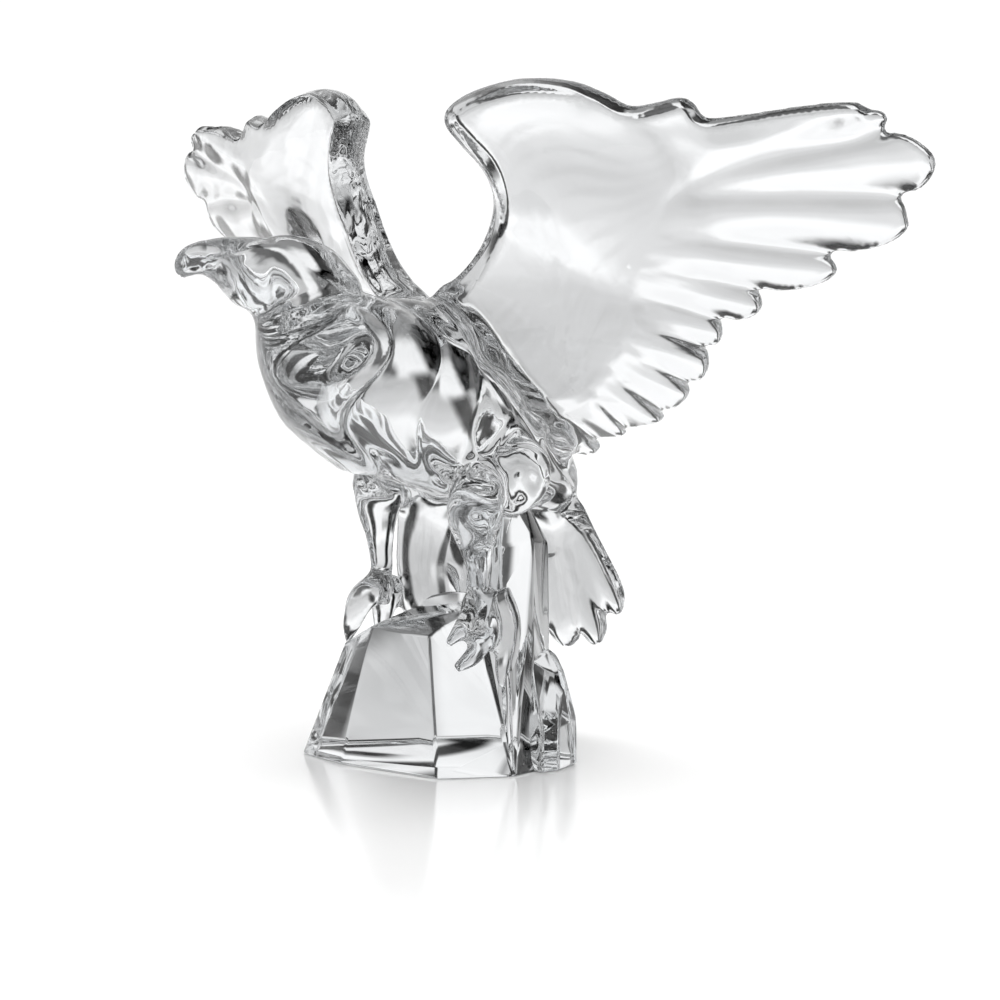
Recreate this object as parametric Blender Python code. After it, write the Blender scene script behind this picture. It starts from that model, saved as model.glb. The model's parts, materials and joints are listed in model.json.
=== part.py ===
"""Crystal eagle figurine: a bird with raised wings on a faceted rock, one clear casting.

Metres, +Z up. The bird faces -Y and its left wing is on +X. The origin is on the rock's flat
underside. The rock has its own sizes. The bird is free form: its tables are in shares of its own
height, 172 shares from the perch to the top of the wings, and so is the perch that it stands on.
"""
import math

import bmesh
import bpy
from mathutils import Vector

MM = 0.001

# Sizes of the rock
ROCK_WIDTH = 83.0 * MM
ROCK_DEPTH = 66.0 * MM
PERCH_HEIGHT = 45.0 * MM
STEP_HEIGHT = 38.0 * MM
ROCK_EDGE_ROUND = 0.9 * MM

# Sizes of the bird
FIGURE_HEIGHT = 172.0 * MM
WING_THICKNESS = 12.5 * MM
HAND_THICKNESS = 7.0 * MM
FEATHER_TIP_THICKNESS = 3.4 * MM
TAIL_THICKNESS = 6.5 * MM
FLUTE_DEPTH = 0.9 * MM
COVERT_RAISE = 0.8 * MM

# Fineness of the faceted solid
SKIN_VOXEL = 1.1 * MM
BIRD_FACES = 8800
FEATHER_COLUMNS = 6
EDGE_COLUMNS = 2
WING_ROWS = 14
TAIL_ROWS = 8
SETTLE_PASSES = 8

SHARES_TALL = 172.0
SHARE = FIGURE_HEIGHT / SHARES_TALL

# Wing rim from the shoulder over the wrist to the first feather, and the arm inside it,
# as (sideways, up) from the perch, in shares
WING_EDGE = (
    (-2, 103), (8, 108), (16, 114), (22, 121), (26.5, 130), (28.5, 138), (27.3, 145.5), (22.5, 152.5),
    (18.6, 158.5), (19.5, 163.5), (27, 168.5), (41, 172), (56, 171), (66, 167.5), (74, 163.5), (81, 164),
    (88, 165.5), (92, 164), (96, 160), (104, 160.5), (120, 162.5), (134, 163.5), (141, 162.5),
)
WING_ARM = (
    (2, 88), (11, 97), (20, 104), (30, 112), (36.5, 124), (39, 135), (38.5, 142.5), (36, 148.5),
    (35, 152.5), (37, 156), (41.5, 159), (50, 161), (58, 160), (66, 156), (73, 153), (80, 153),
    (88, 154), (93, 153), (99, 151), (107, 152), (120, 155), (131, 157), (137, 157),
)
# Feather fan, from the foremost feather to the innermost
FEATHER_TIPS = (
    (145.5, 158.5), (157, 146.4), (146.5, 128), (123, 114.5), (97.5, 104), (82.3, 95),
    (72.3, 84.5), (58, 73), (40.3, 63.7), (25.7, 59), (8, 51.5),
)
FEATHER_NOTCHES = (
    (144.3, 155.3), (147.3, 136.5), (123.2, 119.4), (99.4, 108.4), (84.9, 99.5), (75.3, 90.1),
    (62, 77.9), (47, 67.9), (30.8, 60.8), (18.4, 56.1), (-2, 54),
)
FEATHER_ROOTS = (
    (112, 152), (100, 145), (84, 137), (76.5, 125), (70, 117), (64, 108), (59, 99), (52, 91),
    (43, 84), (33, 77), (20, 72), (2, 74),
)
# Rows bend at this share of the way out, and the flutes have their full depth by this share
ROW_BEND = 0.3
FLUTES_FULL = 0.4
# A feather's end is rounded by this share of a full oval, and its crest leans by this power
TIP_ROUNDNESS = 0.7
CREST_LEAN = 1.5

# Depth of the wing's middle surface: constant, side, up, side x up, side squared, up squared
WING_BOW = (-26.0, 37.3, 15.2, -19.9, 2.3, 93.9)
WING_BOW_LEVEL = 155.0
# The wing's fold sets back its inner edge: centre (sideways, up), reach, depth
WING_FOLD = ((30, 132), 22.0, 9.0)
# The wing thins from the wrist out to the hand, between these places sideways
HAND_STARTS = 60.0
HAND_ENDS = 115.0

# Raised covert lobes: centre (sideways, up), radii, turn in degrees
COVERT_LOBES = (
    ((44, 148), (23, 22), 20.0),
    ((66, 137), (22, 30), 35.0),
)
COVERT_SOFTNESS = 8.0

# Body parts, as rows of (x, y, up, half width, half height), in shares
TRUNK = (
    (0, 56, 24, 6, 2), (0, 57, 31, 10, 5), (0, 54, 39.5, 13.5, 9.5), (0, 44, 48, 17, 15),
    (0, 28, 54, 20, 19), (0, 10, 62, 23, 22), (0, -10, 71, 26, 25), (0, -29, 78, 26.5, 27.5),
    (-1, -43, 85, 24.5, 25), (-3, -52, 94, 20, 19.5), (-4.5, -57, 103, 16, 16),
    (-6, -60, 110, 13, 13), (-7, -62, 115, 8, 8),
)
MANTLE = (
    (0, 22, 70, 10, 8), (0, 8, 80, 16, 13), (0, -8, 88, 20, 15), (0, -26, 92, 19, 14),
    (0, -44, 99, 13, 10),
)
# A soft fillet where each wing leaves the body
WING_ROOT = (
    (8, -10, 102, 4, 4), (14.5, -4, 96, 5, 5), (16.3, 4, 87.3, 5.5, 5.5), (16.3, 14, 79, 5.5, 5.5),
    (16.2, 26, 69.6, 5.5, 5.5), (15, 38, 62, 5, 5), (11.5, 50, 55, 4, 4),
)

# The head is set along its own facing: rows of (ahead, up, half width, half height)
HEAD_PLACE = (-6.0, -61.5)
HEAD_TURN = 40.0
HEAD = (
    (-18, 103, 6, 7), (-13.5, 107, 11, 9.8), (-7.5, 110.5, 13.3, 12.2), (0, 112, 14, 12.6),
    (7.5, 113, 12.8, 12), (13.5, 115.5, 10.2, 9.6), (18, 117.3, 7.6, 7.4), (22.5, 118.2, 5.3, 5.5),
    (25.5, 118.3, 4.4, 4.4), (28.5, 117, 3.4, 4), (30.5, 115.3, 2.2, 2.8), (31.5, 113.6, 0.8, 1.2),
)
BROW = (
    (-1, 119, 1.2, 1.2), (4, 120.3, 2.4, 2.0), (9, 120.6, 2.6, 2.1), (14, 119.6, 2.0, 1.7),
    (17, 118.3, 1, 1),
)
BROW_OFFSET = 8.2

# Left hip and both legs; the right leg stands a little behind the left
HIP = (
    (11, 16, 55, 8, 9), (17, 12, 51, 12.8, 12.6), (22.5, 9.3, 48.7, 13.6, 13.2),
    (26.3, 7.4, 47.3, 12.2, 12), (28.3, 6.5, 46.7, 9.5, 9.3), (29.3, 6, 46.4, 5.5, 5.3),
    (29.6, 5.9, 46.3, 2, 2),
)
LEFT_LEG = (
    (19, -3, 50, 5, 6), (21.5, -6, 45.5, 7.5, 8), (23, -8, 40.5, 9, 9.6), (23.5, -8.3, 34.5, 8.4, 8.8),
    (23, -7.3, 28, 5.6, 6), (21.8, -5.2, 21, 3.9, 4), (20.6, -3.4, 16, 3.5, 3.5),
    (19.8, -2, 11, 4.4, 4.4), (19.2, -0.8, 6, 5, 5), (18.5, 0, 0, 5, 5),
)
RIGHT_LEG = (
    (-17, -6, 52, 5, 6), (-19.5, -6.5, 47, 7.5, 8.5), (-20.5, -5.5, 42, 7.8, 8.2),
    (-20.5, -5.5, 35, 6.6, 7), (-20, -5.3, 28, 4.9, 5), (-20, -4.8, 21, 3.8, 3.8),
    (-20, -4.8, 16, 3.5, 3.5), (-20.5, -6, 12, 4.4, 4.6), (-21, -7, 6, 4.8, 4.8),
)
# A stout prop of the same glass, from the belly to the perch behind the right leg
PROP = (
    (-7, 14, 52, 13, 9), (-10, 14.5, 44, 16.5, 9.5), (-12, 14.5, 36, 16.5, 8.5),
    (-12.5, 14, 27, 16.2, 7.5), (-12.5, 13.5, 18, 16, 7.5), (-12, 13.5, 10, 15.2, 8),
    (-11.5, 13.5, 3, 14.5, 8), (-10.5, 13.5, -4, 11.5, 6),
)
LEFT_TOES = (
    ((20, -1.5, 13, 4, 4), (19.5, -4, 9, 4.4, 4.6), (18, -5.2, 4.3, 4, 4),
     (15.6, -7.6, -0.5, 3, 3.2), (12.3, -9.3, -3.9, 1.3, 1.4)),
    ((21, 0.5, 10, 4, 4), (22, -0.8, 3.8, 4.2, 4.4), (21.7, -2.6, -2.7, 3.8, 4),
     (19.4, -6.2, -8, 3, 3.2), (15.8, -9, -11.4, 1.3, 1.5)),
    ((21.5, 2.5, 12, 5, 5), (24, 4.8, 3.7, 5, 5), (25, 5, -4.3, 4.6, 4.6),
     (25.8, 3, -12.3, 3.5, 3.5), (26, 1.2, -18, 1.2, 1.2)),
)
RIGHT_TOES = (
    ((-20, -3, 13, 4, 4), (-21, -8, 10.5, 4.6, 4.6), (-22.5, -12.5, 6.5, 4.2, 4.4),
     (-24.5, -14, 0, 3.4, 3.6), (-27, -13, -5, 2, 2.2), (-29.5, -11, -8.5, 0.9, 1)),
    ((-20, -2, 12, 4, 4), (-24, -5, 10, 4.4, 4.6), (-27, -8, 5.5, 4.2, 4.4), (-29, -9, -1, 3.2, 3.4),
     (-32, -8.5, -6.5, 1, 1.2)),
    ((-21, 0, 12, 4, 4), (-25, 3, 7.5, 4.4, 4.6), (-28, 5, 2, 3.8, 4), (-30, 6, -4, 2.6, 2.8),
     (-31.5, 6, -9, 1, 1.2)),
)

# Tail feathers: how far the tip lies sideways, how far it drops, half width, in shares
TAIL_FEATHERS = ((0.0, 56.0, 10.5), (13.5, 54.0, 8.5), (23.0, 43.0, 7.0))
TAIL_ROOT = (54.0, 41.0)
TAIL_LEAN = 13.0
# Shares of its tip's own spread, width and thickness that a tail feather has at its root
TAIL_GATHER = 0.35
TAIL_ROOT_WIDTH = 0.55
TAIL_ROOT_THICKNESS = 1.33
# The outer feathers lie further forward and turn their faces outwards
TAIL_SWEEP = 0.06
TAIL_TWIST = 0.25
# The rounded tip starts at this share of the length and ends at this share of the width
TAIL_TIP_STARTS = 0.72
TAIL_TIP_BLUNT = 0.2

# Rock outlines on the ground, as shares of its width and depth
ROCK_FOOT = (
    (-0.517, -0.29), (-0.258, -0.35), (0.212, -0.309), (0.405, -0.029), (0.42, 0.34), (0.16, 0.60),
    (-0.10, 0.64), (-0.52, 0.15),
)
PILLAR_FOOT = (
    (0.405, -0.029), (0.40, 0.12), (0.335, 0.36), (0.14, 0.60), (-0.06, 0.48), (0.10, 0.0),
)
STEP_FOOT = (
    (0.367, 0.11), (0.441, 0.127), (0.467, 0.217), (0.44, 0.40), (0.34, 0.48), (0.24, 0.30),
)
# The step's shoulder and top, as shares of the rock's width and depth and of the step's height
STEP_CROWN = (
    (0.367, 0.11, 0.34), (0.441, 0.127, 0.36), (0.467, 0.217, 0.38), (0.44, 0.40, 0.40),
    (0.35, 0.18, 0.92), (0.398, 0.262, 0.82), (0.402, 0.36, 0.80), (0.325, 0.40, 0.97),
    (0.276, 0.295, 0.98),
)
# Top corners that carry the feet, and those of the pillar that ends inside the belly, placed
# from the perch in shares, because they fit the bird
PERCH_CROWN = (
    (-16, -13.6, -0.3), (6.9, -12.3, -1.7), (14, -0.4, 5.9), (16.6, 19.8, 10.8), (-10.8, 26.5, 9),
    (-27.4, 13.2, 0), (-29.4, -12.8, -7.4),
)
PILLAR_CROWN = (
    (21.6, 5.3, 26.3), (25.7, 17.2, 28), (20.8, 31, 25.4), (5, 37.6, 27.2), (-2.5, 25.1, 29.8),
    (5, 9.2, 29.8), (16.6, 13.2, 43), (16.6, 22.4, 43), (6.6, 22.4, 43),
)


def clear_scene():
    for old in list(bpy.data.objects):
        bpy.data.objects.remove(old, do_unlink=True)


def between(a, b, part):
    return tuple(p + (q - p) * part for p, q in zip(a, b))


def through(rows, steps):
    """Rows of numbers, read along a smooth curve that passes through each given row."""
    read = []
    last = len(rows) - 1
    for i in range(last):
        around = (rows[max(i - 1, 0)], rows[i], rows[i + 1], rows[min(i + 2, last)])
        for k in range(steps):
            t = k / steps
            read.append(tuple(
                b + 0.5 * t * (c - a + t * (2 * a - 5 * b + 4 * c - d + t * (3 * (b - c) + d - a)))
                for a, b, c, d in zip(*around)))
    read.append(tuple(rows[last]))
    return read


def on_perch(x, y, up):
    return Vector((x * SHARE, y * SHARE, PERCH_HEIGHT + up * SHARE))


def limb(bm, rows, side=(1, 0, 0), steps=3, facets=16):
    """A closed tube of oval section through rows of (x, y, up, half width, half height)."""
    stations = through(rows, steps)
    centres = [on_perch(*row[:3]) for row in stations]
    rings = []
    for i, row in enumerate(stations):
        along = (centres[min(i + 1, len(centres) - 1)] - centres[max(i - 1, 0)]).normalized()
        across = Vector(side)
        across = (across - along * across.dot(along)).normalized()
        rise = along.cross(across)
        ring = []
        for k in range(facets):
            turn = 2 * math.pi * k / facets
            reach = across * math.cos(turn) * row[3] + rise * math.sin(turn) * row[4]
            ring.append(bm.verts.new(centres[i] + reach * SHARE))
        rings.append(ring)
    for low, high in zip(rings, rings[1:]):
        for k in range(facets):
            after = (k + 1) % facets
            bm.faces.new((low[k], low[after], high[after], high[k]))
    bm.faces.new(list(reversed(rings[0])))
    bm.faces.new(rings[-1])


def wing_depth(x, up):
    """How far back the wing's middle surface lies at a place on it."""
    across = x / 100.0
    rise = (up - WING_BOW_LEVEL) / 100.0
    terms = (1.0, across, rise, across * rise, across * across, rise * rise)
    (fold_x, fold_up), reach, depth = WING_FOLD
    fold = depth * math.exp(-((x - fold_x) ** 2 + (up - fold_up) ** 2) / reach ** 2)
    return sum(a * b for a, b in zip(WING_BOW, terms)) + fold


def wing_normal(x, up):
    """Unit normal of the wing's middle surface, on its back side."""
    slope_x = wing_depth(x + 0.5, up) - wing_depth(x - 0.5, up)
    slope_up = wing_depth(x, up + 0.5) - wing_depth(x, up - 0.5)
    return Vector((-slope_x, 1.0, -slope_up)).normalized()


def rim_distance(place, outline):
    """Shortest way from a place on the wing to its outline."""
    best = math.inf
    for i, end in enumerate(outline):
        start = outline[i - 1]
        run = (end[0] - start[0], end[1] - start[1])
        reach = (place[0] - start[0], place[1] - start[1])
        span = run[0] ** 2 + run[1] ** 2
        if span > 0.0:
            t = max(0.0, min(1.0, (reach[0] * run[0] + reach[1] * run[1]) / span))
            best = min(best, math.hypot(reach[0] - run[0] * t, reach[1] - run[1] * t))
    return best


def covert_relief(x, up):
    """How far the covert lobes stand proud at a place on the wing, from 0 to 1."""
    relief = 0.0
    for (middle_x, middle_up), (radius_x, radius_up), turn in COVERT_LOBES:
        a = math.radians(turn)
        dx = (x - middle_x) * math.cos(a) + (up - middle_up) * math.sin(a)
        dup = (up - middle_up) * math.cos(a) - (x - middle_x) * math.sin(a)
        away = math.hypot(dx / radius_x, dup / radius_up)
        relief = max(relief, 1.0 / (1.0 + math.exp((away - 1.0) * COVERT_SOFTNESS)))
    return relief


def arm_thickness(x):
    """Thickness at the feather roots, which thins from the wrist out to the hand."""
    part = max(0.0, min(1.0, (x - HAND_STARTS) / (HAND_ENDS - HAND_STARTS)))
    return WING_THICKNESS + (HAND_THICKNESS - WING_THICKNESS) * part * part * (3 - 2 * part)


def feather_rim(before, tip, notch, root, u):
    """A place on a feather's rounded end, which passes through its tip half way along."""
    ahead = (tip[0] - root[0], tip[1] - root[1])
    reach = math.hypot(*ahead)
    ahead = (ahead[0] / reach, ahead[1] / reach)
    start, end, s = (before, tip, 2 * u) if u <= 0.5 else (tip, notch, 2 * u - 1)
    run = (end[0] - start[0], end[1] - start[1])
    out = run[0] * ahead[0] + run[1] * ahead[1]
    rise = math.sin(0.5 * math.pi * s)
    fall = 1.0 - math.cos(0.5 * math.pi * s)
    if u <= 0.5:
        out_part, across_part = rise, fall
    else:
        out_part, across_part = fall, rise
    place = []
    for k in (0, 1):
        out_k = out * ahead[k]
        oval = out_k * out_part + (run[k] - out_k) * across_part
        place.append(start[k] + TIP_ROUNDNESS * oval + (1 - TIP_ROUNDNESS) * run[k] * s)
    return tuple(place)


def wing_columns():
    """Columns across the wing, as (root, bend, rim, place within the feather, rim thickness)."""
    columns = []
    roots = through(FEATHER_ROOTS, FEATHER_COLUMNS)
    edge = through(WING_EDGE, EDGE_COLUMNS)
    arm = through(WING_ARM, EDGE_COLUMNS)
    for i, (rim, bend) in enumerate(zip(edge, arm)):
        place = (1.0 - i / (len(edge) - 1)) * (len(roots) - 1)
        low = min(int(place), len(roots) - 2)
        root = between(roots[low], roots[low + 1], place - low)
        columns.append((root, bend, rim, None, arm_thickness(rim[0])))
    before = WING_EDGE[-1]
    for f, (tip, notch) in enumerate(zip(FEATHER_TIPS, FEATHER_NOTCHES)):
        middle = between(FEATHER_ROOTS[f], FEATHER_ROOTS[f + 1], 0.5)
        for k in range(1, FEATHER_COLUMNS + 1):
            u = k / FEATHER_COLUMNS
            rim = feather_rim(before, tip, notch, middle, u)
            root = roots[f * FEATHER_COLUMNS + k]
            columns.append((root, between(root, rim, ROW_BEND), rim, u, FEATHER_TIP_THICKNESS))
        before = notch
    return columns


def wing(bm, hand):
    """One wing as a closed shell: front and back rows from the feather roots out to the rim."""
    columns = wing_columns()
    outline = [column[2] for column in columns]
    front = []
    back = []
    for root, bend, rim, u, rim_thickness in columns:
        front_row = []
        back_row = []
        for k in range(WING_ROWS + 1):
            t = math.sin(math.pi / 2 * k / WING_ROWS)
            if t < ROW_BEND:
                x, up = between(root, bend, t / ROW_BEND)
            else:
                x, up = between(bend, rim, (t - ROW_BEND) / (1 - ROW_BEND))
            root_thickness = arm_thickness(root[0])
            half = 0.5 * (root_thickness + (rim_thickness - root_thickness) * t)
            inset = min(1.0, rim_distance((x, up), outline) * SHARE / half)
            round_over = math.sqrt(max(0.0, 1 - (1 - inset) ** 2))
            half += COVERT_RAISE * covert_relief(x, up)
            if u is not None:
                crest = math.sin(math.pi * u ** CREST_LEAN) - 0.5
                half += FLUTE_DEPTH * crest * min(1.0, t / FLUTES_FULL)
            offset = wing_normal(x, up) * half * round_over
            middle = on_perch(x, wing_depth(x, up), up)
            for row, point in ((front_row, middle - offset), (back_row, middle + offset)):
                row.append((point.x * hand, point.y, point.z))
        front.append([bm.verts.new(point) for point in front_row])
        back.append([bm.verts.new(point) for point in back_row[:-1]] + [front[-1][-1]])
    for side in (front, back):
        for i, column in enumerate(side):
            after = side[(i + 1) % len(side)]
            for k in range(WING_ROWS):
                bm.faces.new((column[k], after[k], after[k + 1], column[k + 1]))


def tail_feather(bm, sideways, drop, half_width):
    root_y, root_up = TAIL_ROOT
    rows = []
    for k in range(TAIL_ROWS + 1):
        t = k / TAIL_ROWS
        out = sideways * (TAIL_GATHER + (1 - TAIL_GATHER) * t)
        back = root_y + TAIL_LEAN * t - TAIL_SWEEP * abs(out)
        past = max(0.0, t - TAIL_TIP_STARTS) / (1.0 - TAIL_TIP_STARTS)
        tip = max(TAIL_TIP_BLUNT, math.sqrt(1.0 - past * past))
        width = half_width * (TAIL_ROOT_WIDTH + (1 - TAIL_ROOT_WIDTH) * t) * tip
        thick = TAIL_THICKNESS * (TAIL_ROOT_THICKNESS + (1 - TAIL_ROOT_THICKNESS) * t)
        rows.append((out, back, root_up - drop * t, width, 0.25 * thick * (1 + tip) / SHARE))
    limb(bm, rows, side=(1, 0, math.copysign(TAIL_TWIST, sideways)), steps=2)


def mirrored(rows):
    return [(-row[0], *row[1:]) for row in rows]


def facing(rows, offset=0.0):
    """Rows given along the head's facing, as rows of the bird's own frame."""
    turn = math.radians(HEAD_TURN)
    ahead = (-math.sin(turn), -math.cos(turn))
    across = (math.cos(turn), -math.sin(turn))
    return [(HEAD_PLACE[0] + ahead[0] * row[0] + across[0] * offset,
             HEAD_PLACE[1] + ahead[1] * row[0] + across[1] * offset, *row[1:]) for row in rows]


def bird():
    """Trunk, head, legs, wings and tail as overlapping closed shells, for one skin over them."""
    bm = bmesh.new()
    turn = math.radians(HEAD_TURN)
    across_head = (math.cos(turn), -math.sin(turn), 0)
    limb(bm, TRUNK, facets=24)
    limb(bm, MANTLE)
    limb(bm, facing(HEAD), side=across_head, facets=20)
    for hand in (1, -1):
        limb(bm, facing(BROW, hand * BROW_OFFSET), side=across_head, facets=10)
    for rows in (WING_ROOT, mirrored(WING_ROOT), HIP, mirrored(HIP), LEFT_LEG, RIGHT_LEG, PROP):
        limb(bm, rows, facets=18)
    for rows in LEFT_TOES + RIGHT_TOES:
        limb(bm, rows)
    for hand in (1, -1):
        wing(bm, hand)
        for sideways, drop, half_width in TAIL_FEATHERS[1:]:
            tail_feather(bm, hand * sideways, drop, half_width)
    tail_feather(bm, *TAIL_FEATHERS[0])
    bmesh.ops.remove_doubles(bm, verts=bm.verts, dist=0.02 * MM)
    bmesh.ops.recalc_face_normals(bm, faces=bm.faces)
    mesh = bpy.data.meshes.new("crystal_eagle")
    bm.to_mesh(mesh)
    bm.free()
    return mesh


def on_ground(outline):
    return [(x * ROCK_WIDTH, y * ROCK_DEPTH, 0.0) for x, y in outline]


def block(name, foot, crown):
    """A faceted block: the hull of its foot's and crown's corners, with softened edges."""
    bm = bmesh.new()
    for corner in on_ground(foot) + crown:
        bm.verts.new(corner)
    bmesh.ops.convex_hull(bm, input=bm.verts)
    bmesh.ops.dissolve_limit(bm, angle_limit=math.radians(1), verts=bm.verts, edges=bm.edges)
    bmesh.ops.bevel(bm, geom=bm.edges, offset=ROCK_EDGE_ROUND, segments=2, profile=0.5,
                    affect="EDGES", clamp_overlap=True)
    bmesh.ops.recalc_face_normals(bm, faces=bm.faces)
    mesh = bpy.data.meshes.new(name)
    bm.to_mesh(mesh)
    bm.free()
    helper = bpy.data.objects.new(name, mesh)
    bpy.context.collection.objects.link(helper)
    helper.hide_render = True
    helper.display_type = "WIRE"
    return helper


def crystal():
    material = bpy.data.materials.new("clear_crystal")
    material.use_nodes = True
    shader = material.node_tree.nodes["Principled BSDF"]
    shader.inputs["Base Color"].default_value = (0.96, 0.97, 0.98, 1.0)
    shader.inputs["Roughness"].default_value = 0.02
    shader.inputs["Metallic"].default_value = 0.0
    shader.inputs["Transmission Weight"].default_value = 1.0
    shader.inputs["IOR"].default_value = 1.54
    return material


def main():
    clear_scene()
    eagle = bpy.data.objects.new("crystal_eagle", bird())
    bpy.context.collection.objects.link(eagle)
    skin = eagle.modifiers.new("one_skin", "REMESH")
    skin.mode = "VOXEL"
    skin.voxel_size = SKIN_VOXEL
    settle = eagle.modifiers.new("settle", "SMOOTH")
    settle.factor = 0.5
    settle.iterations = SETTLE_PASSES
    bpy.context.view_layer.update()
    graph = bpy.context.evaluated_depsgraph_get()
    skin_quads = len(eagle.evaluated_get(graph).data.polygons)
    thin = eagle.modifiers.new("fewer_faces", "DECIMATE")
    thin.ratio = min(1.0, BIRD_FACES / (2 * skin_quads))
    step_top = [(x * ROCK_WIDTH, y * ROCK_DEPTH, part * STEP_HEIGHT) for x, y, part in STEP_CROWN]
    for name, foot, crown in (
            ("rock_body", ROCK_FOOT, [on_perch(*corner) for corner in PERCH_CROWN]),
            ("rock_pillar", PILLAR_FOOT, [on_perch(*corner) for corner in PILLAR_CROWN]),
            ("rock_step", STEP_FOOT, step_top)):
        fuse = eagle.modifiers.new(name, "BOOLEAN")
        fuse.operation = "UNION"
        fuse.solver = "EXACT"
        fuse.object = block(name, foot, crown)
    eagle.data.materials.append(crystal())


main()
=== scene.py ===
"""Crystal eagle figurine as it looks: one clear casting on a pale floor, in soft studio light.

The shapes are the part's own, read finer: metres, +Z up, the bird faces -Y, and its tables are in
shares of its height from the perch upwards.
"""

import json
import math

import bmesh
import bpy
import numpy as np
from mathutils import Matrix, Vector


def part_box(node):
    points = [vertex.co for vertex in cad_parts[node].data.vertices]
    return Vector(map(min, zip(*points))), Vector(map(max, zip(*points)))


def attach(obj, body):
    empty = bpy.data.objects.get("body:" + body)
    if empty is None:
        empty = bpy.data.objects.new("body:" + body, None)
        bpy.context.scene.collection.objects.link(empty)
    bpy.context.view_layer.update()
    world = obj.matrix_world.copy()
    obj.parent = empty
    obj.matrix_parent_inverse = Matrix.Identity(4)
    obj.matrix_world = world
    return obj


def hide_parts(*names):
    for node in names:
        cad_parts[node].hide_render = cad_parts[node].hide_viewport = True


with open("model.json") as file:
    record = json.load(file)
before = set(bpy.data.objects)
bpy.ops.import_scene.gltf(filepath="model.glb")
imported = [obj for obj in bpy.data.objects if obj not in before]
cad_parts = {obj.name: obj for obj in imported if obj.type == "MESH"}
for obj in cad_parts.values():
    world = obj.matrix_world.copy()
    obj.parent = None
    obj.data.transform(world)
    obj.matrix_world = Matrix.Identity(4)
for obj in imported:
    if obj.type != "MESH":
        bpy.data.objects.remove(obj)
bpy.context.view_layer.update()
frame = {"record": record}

MM = 0.001

# Sizes of the rock
ROCK_WIDTH = 83.0 * MM
ROCK_DEPTH = 66.0 * MM
PERCH_HEIGHT = 45.0 * MM
STEP_HEIGHT = 38.0 * MM
ROCK_EDGE_ROUND = 0.9 * MM
ROCK_EDGE_STEPS = 3
ROCK_SHARP_ANGLE = 35.0
ROCK_FLAT_ANGLE = 1.0

# Sizes of the bird
FIGURE_HEIGHT = 172.0 * MM
WING_THICKNESS = 12.4 * MM
HAND_THICKNESS = 7.0 * MM
FEATHER_TIP_THICKNESS = 2.6 * MM
TAIL_THICKNESS = 6.5 * MM
FLUTE_DEPTH = 1.2 * MM
COVERT_RAISE = 0.6 * MM

# Fineness of the polished surface
SKIN_VOXEL = 0.86 * MM
SKIN_TRIANGLES = 188000
SEAM_REACH = 0.01 * MM
FEATHER_COLUMNS = 20
EDGE_COLUMNS = 14
WING_ROWS = 44
TAIL_ROWS = 14
TAIL_STEPS = 6
LIMB_STEPS = 10
LIMB_FACETS = 56
NEAR_STEPS = 4

# Polish: each pass moves the skin by the first share towards its surroundings and by the second
# share back again, so that it grows smooth without shrinking
POLISH_PASSES = 24
BODY_POLISH_PASSES = 70
POLISH_IN = 0.5
POLISH_OUT = 0.51
# Fillets: they start at this share of this hollowness, spread over this many corners with this
# gain, and fade out over this many more
FILLET_PASSES = 90
FILLET_BEND = 0.10 * MM
FILLET_STARTS = 0.5
FILLET_SPREAD = 7
FILLET_GROWTH = 1.15
FILLET_BLURS = 2

SHARES_TALL = 172.0
SHARE = FIGURE_HEIGHT / SHARES_TALL

# Wing rim from the shoulder over the wrist to the first feather, and the arm inside it,
# as (sideways, up) from the perch, in shares
WING_EDGE = (
    (-2, 103), (8, 108), (16, 114), (22, 121), (26.5, 130), (28.5, 138), (27.3, 145.5), (22.5, 152.5),
    (18.6, 158.5), (19.5, 163.5), (27, 168.5), (41, 172), (56, 171), (66, 167.5), (74, 163.5), (81, 164),
    (88, 165.5), (92, 164), (96, 160), (104, 160.5), (120, 162.5), (134, 163.5), (141, 162.5),
)
WING_ARM = (
    (2, 88), (11, 97), (20, 104), (30, 112), (36.5, 124), (39, 135), (38.5, 142.5), (36, 148.5),
    (35, 152.5), (37, 156), (41.5, 159), (50, 161), (58, 160), (66, 156), (73, 153), (80, 153),
    (88, 154), (93, 153), (99, 151), (107, 152), (120, 155), (131, 157), (137, 157),
)
# Feather fan, from the foremost feather to the innermost
FEATHER_TIPS = (
    (145.5, 158.5), (157, 146.4), (146.5, 128), (123, 114.5), (97.5, 104), (82.3, 95),
    (72.3, 84.5), (58, 73), (40.3, 63.7), (25.7, 59), (8, 51.5),
)
FEATHER_NOTCHES = (
    (144.3, 155.3), (147.3, 136.5), (123.2, 119.4), (99.4, 108.4), (84.9, 99.5), (75.3, 90.1),
    (62, 77.9), (47, 67.9), (30.8, 60.8), (18.4, 56.1), (-2, 54),
)
FEATHER_ROOTS = (
    (112, 152), (100, 145), (84, 137), (76.5, 125), (70, 117), (64, 108), (59, 99), (52, 91),
    (43, 84), (33, 77), (20, 72), (2, 74),
)
# The rim's profile, in half thicknesses: a blunt edge this wide and high, then a flat bevel up to
# this far in
RIM_BLUNT = 0.08
RIM_EDGE = 0.2
RIM_WIDTH = 0.62
# Rows bend at this share of the way out, and the flutes have their full depth by this share
ROW_BEND = 0.3
FLUTES_FULL = 0.4
# A feather's end is rounded by this share of a full oval, and its crest leans by this power
TIP_ROUNDNESS = 0.7
CREST_LEAN = 0.7
# The groove between two feathers: where it begins on the way out, how wide it is as a share of
# the feather, and how much of the thickness it takes at the rim
GROOVE_STARTS = 0.56
GROOVE_WIDTH = 0.09
GROOVE_SHARE = 0.62
# A flute is never deeper than this share of the feather's half thickness
FLUTE_SHARE = 0.6

# Depth of the wing's middle surface: constant, side, up, side x up, side squared, up squared
WING_BOW = (-26.0, 37.3, 15.2, -19.9, 2.3, 93.9)
WING_BOW_LEVEL = 155.0
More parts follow.
